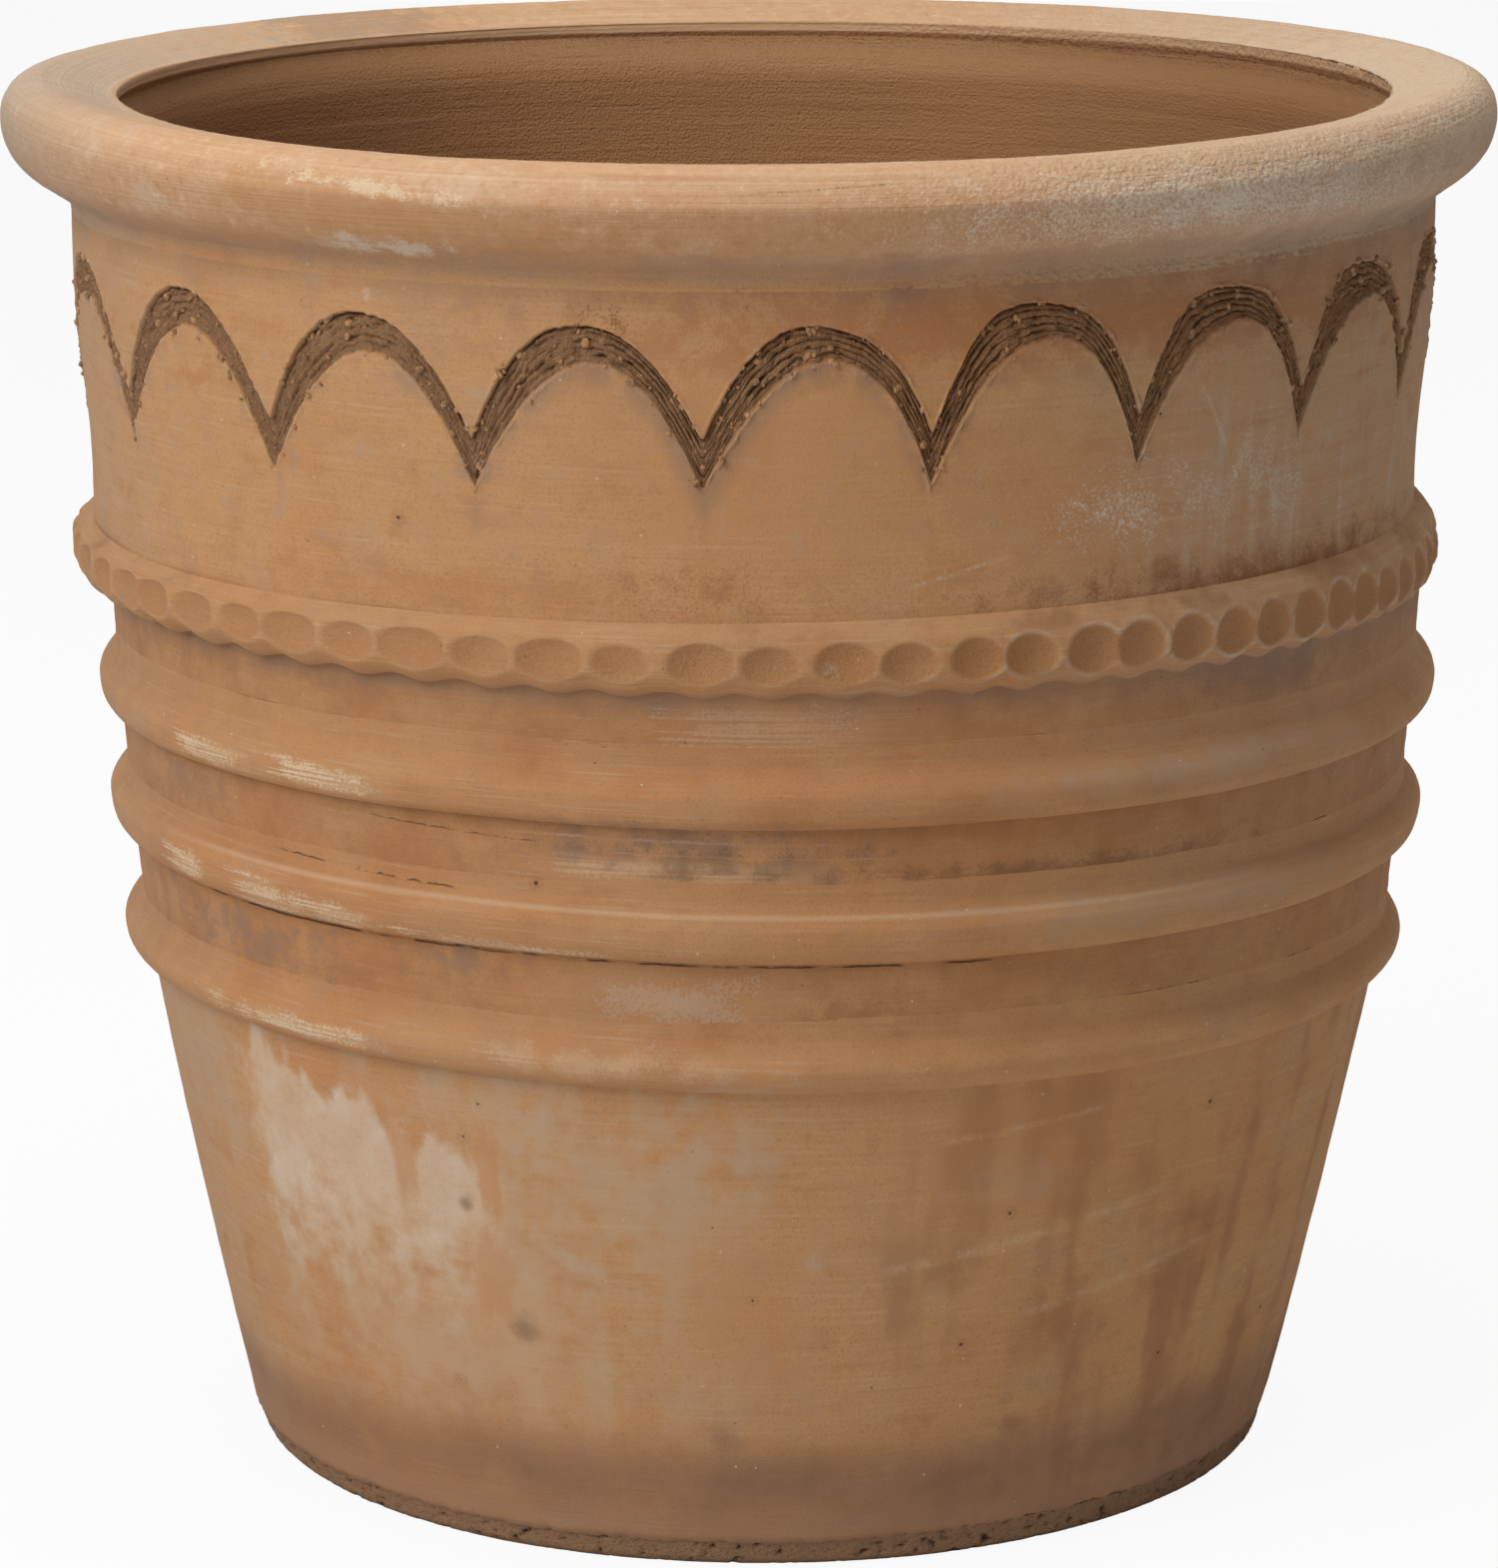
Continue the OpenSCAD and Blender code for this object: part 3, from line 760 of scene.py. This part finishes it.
def bandMarks(at):
    s, d = at.sizes, bandDrift
    crest, middleZ = bandMiddle()
    twice = at.az * 2
    phase = at.az * s.prints / 360 + at.side * d["side"] - at.ahead * d["ahead"]
    phase = phase - twice.sin() * d["twiceSine"] - twice.cos() * d["twiceCosine"] + d["shift"]
    nearest = (phase + 0.5).floor()
    one = nearest.maths("FLOORED_MODULO", nearest, s.prints)  # the same count from either side of the back
    pitch = 2 * math.pi * crest / s.prints
    across = (phase - nearest - one.chance(2) * 0.14 + 0.07) * pitch
    level = at.z - middleZ
    up = level - s.printZ + one.chance(5) * 1.6 - 0.8 + across * (one.chance(9) - 0.5) * 0.12
    firm = at.side.ease(0.17, 0.64) * 0.4 + one.chance(8) * 0.9 - 0.45
    broad = 1.12 - one.chance(12) * 0.3
    pressed = (across * across * 0.85 + up * up * 0.85) * broad / (2 * s.thumbRadius)
    pressed = pressed + crest - s.printDepth - firm
    outer = at.place.grit(hand["lumpMm"], 2, seed=3) * hand["lump"] + at.r
    gap = pressed - outer
    r = at.w.maths("SMOOTH_MIN", outer, pressed, at.side.ease(0.14, -0.5) * 1.1 + 0.4)
    onFace = level.between(-9, 9, 2)
    uneven = at.place.grit(7, 2, seed=19).ease(-0.2, 0.15)
    rolled = gap.bell(0.5, 1.3) * s.printRim * (at.side.ease(0, 0.57) * 0.9 + 0.2) * onFace * uneven
    lowPart = level.ease(-1, -11)
    sag = (across / pitch * 360).cos() * 0.5 + 0.5
    grain = at.place.grit(1.8, 2, seed=7) * s.grain
    out = rolled + grain + at.place.grit(hand["swellMm"], 1) * hand["swell"] + lowPart * sag * 0.5
    return dict(r=r, z=at.z - lowPart * sag * s.droop, out=out, lean=s.leanX,
                lift=at.side * (s.tilt + level.ease(3, 11) * s.ledge),
                keep=dict(print=gap.ease(0.1, -0.9), printRim=gap.bell(0.25, 0.75) * onFace * uneven,
                          ledge=level.ease(6, 9)))


def bandClay():
    f = bareClay("bandClay", "run")
    printed, edge = f.kept("print"), f.kept("printRim")
    f.cover(f.mottle * 0.5 + f.blotch * 0.4 + 0.34, srgb(172, 120, 77))
    f.cover(f.fine.ease(0.02, 0.2) * 0.2 * (1 - printed), lime)
    # painted shade: the thumb-print hollows are painted darker, more so towards the right
    f.cover(printed * (f.side.ease(-0.4, 0.4) * 0.25 + 0.3), srgb(160, 110, 69))
    specks = f.place.grit(0.6, 2, seed=74).ease(0.02, 0.22)
    f.cover(printed * specks * (f.side.ease(-0.6, 0.2) * 0.25 + 0.15), umber)
    f.cover(f.kept("ledge") * 0.22, srgb(206, 168, 128))
    dirt = (f.patina + f.blotch * 0.5 + f.side * 0.1).ease(-0.04, 0.24)
    f.cover(f.kept("ledge") * dirt * 0.6, srgb(146, 102, 67))
    limed = f.mottle * 3 + f.blotch * 2 + f.sand + 0.5
    f.cover(edge * (f.side.ease(0.1, 0.5) * 0.6 + 0.06) * limed, chalk)
    # painted shade under the band's lower edge, with mauve stain
    f.cover((f.z + f.mottle * 6).ease(302, 296) * 0.6, mauve)
    return f.raised(printed * f.place.grit(1.4, 2, seed=73) * 0.35).flecks().close()


# Plain rings

ring = dict(columns=720, leanX=0.0, tilt=0.0, crestZ=0.0, line=0.2, grain=0.18)
rings = {
    "upper_ring": dict(name="upperRing", leanX=2.75, tilt=0.2, above=11, below=9.8, belly=3.3),
    "middle_ring": dict(name="middleRing", leanX=2.35, tilt=-1.45, above=9, below=11.4, belly=3.0),
    "lower_ring": dict(name="lowerRing", leanX=1.45, tilt=-1.8, above=11, below=7.8, belly=2.4),
}
ringShape = dict(crestPart=0.49, bury=4.0, shoulder=1.5, fillet=6.0, filletLift=0.9, reach=15, steps=46)


def ringCrest(node):
    low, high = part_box(node)
    return (low.z + (high.z - low.z) * ringShape["crestPart"]) / mm


def ringOutline(node):
    s, own = ringShape, rings[node]
    crest = ringCrest(node)
    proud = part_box(node)[1].x / mm - outerRadius(crest)
    bottom, top = crest - own["below"], crest + own["above"] + s["fillet"]
    points = []
    for z in crowded(bottom, top, s["steps"]):
        if z < crest:
            lift = proud * math.sqrt(max(0, 1 - ((crest - z) / own["below"]) ** own["belly"]))
        else:
            part = min(1, (z - crest) / own["above"])
            lift = proud * max(0, math.cos(math.pi / 2 * part)) ** s["shoulder"]
            lift = max(lift, s["filletLift"] * ((top - z) / (s["fillet"] + 3)) ** 2)
        points.append((outerRadius(z) + lift, z, 0.0))
    first, last = points[0], points[-1]
    end = [(last[0] - 0.9, last[1] + 3, 0.0), (last[0] - s["bury"], last[1] + 5, 0.0)]
    return [(first[0] - s["bury"], first[1] - 0.5, 0.0)] + points + end


def ringWaver(az, tilt):  # each coil runs a little out of level
    return az.sin() * tilt + drawn(az, 0.0, 40, 1, 1, seed=15) * 2.0


def ringMarks(at):
    s = at.sizes
    proud = ((at.z - s.crestZ) / ringShape["reach"]).size().ease(0.95, 0.3)
    lean = middle["leanX"] + (s.leanX - middle["leanX"]) * proud
    return dict(lift=ringWaver(at.az, s.tilt), out=handMarks(at, at.place, at.run), lean=lean)


def ringClay():
    f = bareClay("ringClay", "run")
    f.cover(f.mottle * 0.6 + f.blotch * 0.4 + 0.3, srgb(168, 115, 73))
    f.cover((f.fine + f.sand * 0.4).ease(0.06, 0.26) * f.az.between(-70, -4, 8) * 0.22, lime)
    f.dash(0.75, -57, -46, 258.5, 267.5, tilt=-0.1)
    f.dash(0.8, -44, -31, 258, 268, tilt=-0.15)
    f.smear(0.5, mauve, -26, 12, 251, 261, 0.8, 2.2, 0.6, 0.2, brushed=8)
    f.smear(0.5, grey, 12, 62, 260, 276, 0.8, 2.2, 0.8, 0.2, brushed=8)
    f.dash(0.7, -61, -53, 217, 227)
    f.dash(0.75, -51, -40, 212, 226, tilt=-0.4)
    f.dash(0.75, -42, -33, 213, 223, tilt=-0.3)
    f.dash(0.75, -33, -10, 209.5, 217.5, tilt=-0.1)
    f.dash(0.35, -20, 2, 209, 214)
    # painted highlight: a pale line along the middle ring's upper edge, where it catches the light
    shoulder = ringCrest("middle_ring") + ringWaver(f.az, rings["middle_ring"]["tilt"]) + 4.5
    f.cover(f.z.bell(shoulder, 1.3) * f.az.between(-56, 40, 12) * 0.3, lime)
    f.smear(0.4, grey, 8, 68, 216, 232, 0.8, 2.2, 0.8, 0.2, brushed=8)
    f.dash(0.8, -55, -32, 173.5, 181.5, tilt=-0.05)
    f.smear(0.3, lime, -34, 8, 172, 186, 0.9, 2.4, 1.4, 0.2, brushed=22)
    f.smear(0.5, grey, -9, 4, 167, 175, 0.8, brushed=14)
    f.crack(0.6, -45, -26, 234.5, 232, 0.4)
    return f.flecks().close()


# Plain walls

middle = dict(columns=720, leanX=2.4, line=0.25, grain=0.16)
lower = {**middle, "leanX": 0.3, "leanPerMm": 0.0105}
footZ = 8.5


def middleOutline():
    outside = climb(outerRadius, wall["lowerJointZ"] - 6, wall["upperJointZ"] - 4, 96)
    return outside + climb(innerRadius, wall["upperJointZ"] - 2, wall["lowerJointZ"] - 2, 20, 1.0)


def lowerOutline():
    outside = [(outerRadius(footZ) - 2.5, footZ - 0.6, 0.0), (outerRadius(footZ) - 0.8, footZ, 0.0)]
    outside += climb(outerRadius, footZ + 0.8, wall["lowerJointZ"] - 2, 92)
    inside = climb(innerRadius, wall["lowerJointZ"] - 2, wall["floorZ"] + 14, 18, 1.0)
    inner = innerRadius(wall["floorZ"])
    return outside + inside + [(inner - 2.5, wall["floorZ"] + 7, 1.0), (inner - 7, wall["floorZ"] - 1, 1.0)]


def middleMarks(at):
    return dict(out=handMarks(at, at.place, at.z), lean=at.sizes.leanX)


def lowerMarks(at):
    worn = at.z.ease(18, 9) * (1 - at.inside)
    ragged = drawn(at.az, 0.0, 1.2, 1, 3, seed=26) * 4 + at.side.ease(0, 0.64) * 1.5
    return dict(out=handMarks(at, at.place, at.z), lift=worn * ragged,
                lean=at.sizes.leanX + at.z * at.sizes.leanPerMm)


def middleClay():
    f = bareClay("middleClay")
    f.smear(0.5, warm, -24, 44, 226, 306, 0.8, 2.2, 0.4)
    f.cover(f.z.between(186, 298, 6) * (f.mottle + f.blotch * 0.6 + 0.46), srgb(160, 108, 69))
    # painted shade: mauve darkening in the crease just under the thumbed band
    f.cover((f.z + f.mottle * 12).ease(288, 299) * (f.blotch * 1.5 + 0.5), mauve)
    f.dash(0.28, -10, 10, 276, 298)
    f.smear(0.5, mauve, 34, 60, 277, 304, 0.9, 2.4, 0.8, 0.2)
    f.smear(0.65, mauve, -28, 18, 241, 261, 0.9, 2.6, 1.0, 0.2)
    f.dash(0.4, -20, 8, 236, 247)
    f.scuff(0.5, srgb(206, 176, 146), -20, 6, 252.5, 251, 0.7)
    f.scuff(0.5, srgb(206, 176, 146), -12, 10, 247.5, 246, 0.6)
    f.smear(0.6, umber, -20, 16, 233, 255, 0.9, 2.2, 1.0, 0.3, brushed=8)
    f.smear(0.6, umber, 2, 52, 232, 245, 0.9, 1.6, 0.8, 0.1, brushed=14)
    f.smear(0.45, mauve, -70, -48, 232, 262, 0.9, 2.4, 0.6, 0.2)
    f.smear(0.55, mauve, -72, -34, 186, 216, 0.8, 2.6, 0.6, 0.2, drips=24)
    f.smear(0.5, mauve, -38, -16, 198, 216, 0.8, 2.6, 1.0, 0.3, drips=16)
    f.smear(0.5, srgb(196, 172, 148), -17, 3, 186, 212, 0.9, 2.6, 2.2, 0.15)
    f.smear(0.45, brown, 0, 16, 186, 204, 0.8, 2.6, 0.8, 0.3)
    f.crack(0.4, -34, -19, 252, 249.5, 0.36)
    own = rings["middle_ring"]
    edge = ringCrest("middle_ring") - own["below"] + ringWaver(f.az, own["tilt"])
    gap = f.z.bell(edge - 1.0 + f.mottle * 1.2, 0.5) * f.az.between(-58, 20, 3)
    gap = gap * (drawn(f.az, 0.0, 3, 1, 3, seed=16) + 0.5).ease(0.42, 0.6)
    return f.cover(gap * 0.75, soot).raised(gap * -0.8).flecks().lined().close()


def lowerClay():
    f = bareClay("lowerClay")
    beige = srgb(190, 161, 133)
    wide = drawn(f.az, f.z, 4.5, 90, 2, seed=34)
    haze = (wide + f.mottle * 0.7 + f.blotch * 0.5).ease(-0.1, 0.3)
    f.cover(haze * f.az.between(-64, 12, 12) * f.z.ease(30, 70) * 0.65, beige)
    f.cover(haze * f.side.ease(0.14, 0.4) * 0.4, srgb(168, 127, 97))
    runs = (wide + f.blotch * 0.6 + f.mottle * 0.3).ease(-0.05, 0.25)
    f.cover(runs * f.side.ease(-0.1, 0.3) * 0.55, srgb(156, 107, 72))
    f.smear(0.4, warm, 2, 56, 110, 184, 0.8, 2.4, 0.4)
    f.smear(0.45, srgb(200, 164, 130), -56, -6, 34, 124, 0.9, 1.8, 0.4, drips=20)
    f.smear(0.6, beige, -27, 5, 92, 172, 0.8, 2.2, 0.8, 0.1, drips=24)
    f.smear(0.5, grey, -80, -52, 112, 180, 0.8, 2.0, 0.6, 0.1, drips=60)
    f.smear(0.6, warm, -10, 7, 52, 136, 0.8, 2.4, 0.6, 0.1, drips=24)
    top = 164 - (f.az + 47).atLeast(0) * 1.4 + wide * 50 + f.mottle * 16
    sides = (f.az + f.mottle * 6).between(-54, -25, 2.5)
    bloom = sides * (f.z - top).ease(4, -4) * (f.z + f.mottle * 50 + wide * 30).ease(78, 126)
    f.cover(bloom * (f.blotch * 0.8 + f.mottle + f.sand * 0.6 + 0.7), srgb(212, 188, 163))
    f.smear(0.7, warm, -36, -32.2, 118, 158, 0.5, 1.4, 0.5, drips=30)
    f.smear(0.7, warm, -26.8, -23.6, 118, 156, 0.5, 1.4, 0.5, drips=30)
    f.smear(0.6, warm, -28.4, -23, 76, 118, 0.6, 1.6, 0.5, drips=30)
    f.scuff(0.35, lime, 12, 40, 106, 122, 3.0)
    f.scuff(0.3, lime, 26, 48, 86, 100, 2.6)
    f.scuff(0.3, lime, 16, 32, 150, 156, 1.8)
    f.smear(0.4, grey, 12, 34, 122, 148, 0.9, 2.6, 1.0, 0.3)
    f.spot(0.5, -28, 124, 4)
    f.spot(0.4, -23, 82, 7)
    f.spot(0.35, -3.6, 47, 8)
    f.spot(0.3, 26, 46, 7)
    # darker and more mauve towards the bottom, above the foot
    darkerLow = f.mottle * 0.6 + f.blotch + 0.45 + f.az.bell(-6, 40) * 0.2
    f.cover((f.z + f.mottle * 6).bell(31, 20) * darkerLow, srgb(134, 103, 82))
    f.cover((f.z + f.mottle * 10).ease(58, 16) * (f.blotch * 0.6 + 0.5), srgb(148, 111, 87))
    f.cover(f.z.bell(14, 8) * 0.4, srgb(166, 130, 104))
    f.cover((f.z + f.mottle * 6).ease(12, 8) * 0.7, srgb(146, 113, 87))
    return f.flecks().lined().close()


# Floor slab with the worn foot and the drain hole

base = dict(columns=900, leanX=0.6, line=0.2, grain=0.5, pits=2.2)
baseShape = dict(drainRadius=15, edgeRound=4.5, topZ=11, soleInset=5)


def baseOutline():
    s = baseShape
    top, drain, edge, bend = wall["floorZ"], s["drainRadius"], outerRadius(0), s["edgeRound"]
    inner, seam, seamZ = innerRadius(top), outerRadius(s["topZ"]), s["topZ"]
    return (run((drain, 0.5), (drain + 1.5, 0), 2) + run((drain + 1.5, 0), (edge - s["soleInset"], 0), 16)
            + turn((edge - bend, bend), bend, -90, 0, 8)
            + run((edge, bend), (seam - 0.7, seamZ), 9) + [(seam - 6, seamZ + 1, 0.0)]
            + run((inner, top), (drain + 2, top), 20, 1.0)
            + run((drain, top - 2), (drain, 0.5), 5, 1.0))


def baseMarks(at):
    outer = at.r.ease(165, 172)
    pits = at.place.grit(3.4, 4, seed=17).ease(0.04, 0.26) * at.sizes.pits * outer
    out = handMarks(at, at.place, at.run) - pits
    return dict(out=out * at.z.ease(-0.5, 1.5), lean=at.sizes.leanX, keep={"pits": pits})


def floorClay():
    f = bareClay("floorClay")
    rough = f.place.grit(1.3, 3, seed=81, crisp=0.65)
    broken = f.z.ease(13, 9)
    f.cover(broken * 0.85, srgb(150, 117, 90))
    f.cover(broken * rough.ease(0.04, 0.2) * 0.6, srgb(106, 78, 57))
    f.cover(broken * rough.ease(-0.05, -0.2) * 0.5, srgb(178, 144, 114))
    f.cover(broken * (f.kept("pits") - 0.3).ease(0.0, 1.2) * 0.8, srgb(70, 50, 37))
    f.cover(f.z.ease(3, 0) * 0.5, soot)
    return f.raised(broken * rough * 1.2).flecks().lined().close()


throwPiece("rimRoll", "rim_roll", rimOutline(), rim, rimMarks, rimClay())
upperWall = throwPiece("upperWall", "upper_wall", upperOutline(), garland, garlandMarks,
                       upperClay())
scatterCrumbs(upperWall, crumbClay())
throwPiece("thumbedBand", "thumbed_band", bandOutline(), band, bandMarks, bandClay())
plainRing = ringClay()
for node, own in rings.items():
    sizes = {**{key: own.get(key, value) for key, value in ring.items()}, "crestZ": ringCrest(node)}
    throwPiece(own["name"], node, ringOutline(node), sizes, ringMarks, plainRing)
throwPiece("middleWall", "middle_wall", middleOutline(), middle, middleMarks, middleClay())
throwPiece("lowerWall", "lower_wall", lowerOutline(), lower, lowerMarks, lowerClay())
throwPiece("baseSlab", "base_slab", baseOutline(), base, baseMarks, floorClay())

# Studio

studio = dict(cameraAt=(-0.0034, -2.085, 0.6935), cameraPitch=77.23, lens=142.74, keyPower=31, keySize=1.5,
              keyAz=-45, keyHeight=38, keyAway=2.4, keyAimZ=0.25, topPower=29, topSize=2.4, topZ=2.4,
              sensor=36, skyLevel=0.21, floorSize=30, floorGrey=0.8, floorWhite=0.93)


def addCamera():
    camera = addPiece("camera", bpy.data.cameras.new("camera"))
    camera.data.lens = studio["lens"]
    camera.data.sensor_width = studio["sensor"]
    camera.location = studio["cameraAt"]
    camera.rotation_euler = (math.radians(studio["cameraPitch"]), 0, 0)
    bpy.context.scene.camera = camera


def addLamp(name, power, size):
    lamp = bpy.data.lights.new(name, "AREA")
    lamp.shape = "DISK"
    lamp.size = size
    lamp.energy = power
    return addPiece(name, lamp)


def addLamps():
    key = addLamp("key", studio["keyPower"], studio["keySize"])
    az, up, away = math.radians(studio["keyAz"]), math.radians(studio["keyHeight"]), studio["keyAway"]
    flat = away * math.cos(up)
    key.location = (flat * math.sin(az), -flat * math.cos(az), studio["keyAimZ"] + away * math.sin(up))
    key.rotation_euler = (math.pi / 2 - up, 0, az)
    top = addLamp("top", studio["topPower"], studio["topSize"])
    top.location = (0, 0, studio["topZ"])


def addSky():
    world = bpy.data.worlds.new("studio")
    bpy.context.scene.world = world
    w = emptyTree(world)
    rays = w.node("ShaderNodeLightPath", out="Is Camera Ray")
    seen = rays.atLeast(rays.out("Is Glossy Ray")).atLeast(rays.out("Is Transmission Ray"))
    level = seen * (1 - studio["skyLevel"]) + studio["skyLevel"]
    sky = w.node("ShaderNodeBackground", {"Color": (1, 1, 1, 1), "Strength": level})
    w.node("ShaderNodeOutputWorld", {"Surface": sky})


def addFloor():
    half = studio["floorSize"] / 2
    mesh = bpy.data.meshes.new("floor")
    corners = [(-half, -half, 0), (half, -half, 0), (half, half, 0), (-half, half, 0)]
    mesh.from_pydata(corners, [], [(0, 1, 2, 3)])
    floor = addPiece("floor", mesh)
    material = bpy.data.materials.new("paleFloor")
    w = emptyTree(material)
    matt = w.node("ShaderNodeBsdfDiffuse", {"Color": 3 * (studio["floorGrey"],) + (1,)})
    white = w.node("ShaderNodeEmission", {"Color": (1, 1, 1, 1), "Strength": 1.0})
    rays = w.node("ShaderNodeLightPath", out="Is Camera Ray")
    both = w.node("ShaderNodeMixShader", {0: rays * studio["floorWhite"], 1: matt, 2: white})
    w.node("ShaderNodeOutputMaterial", {"Surface": both})
    mesh.materials.append(material)


addCamera()
addLamps()
addSky()
addFloor()
bpy.context.scene.view_settings.view_transform = "Standard"
print("studio ready")
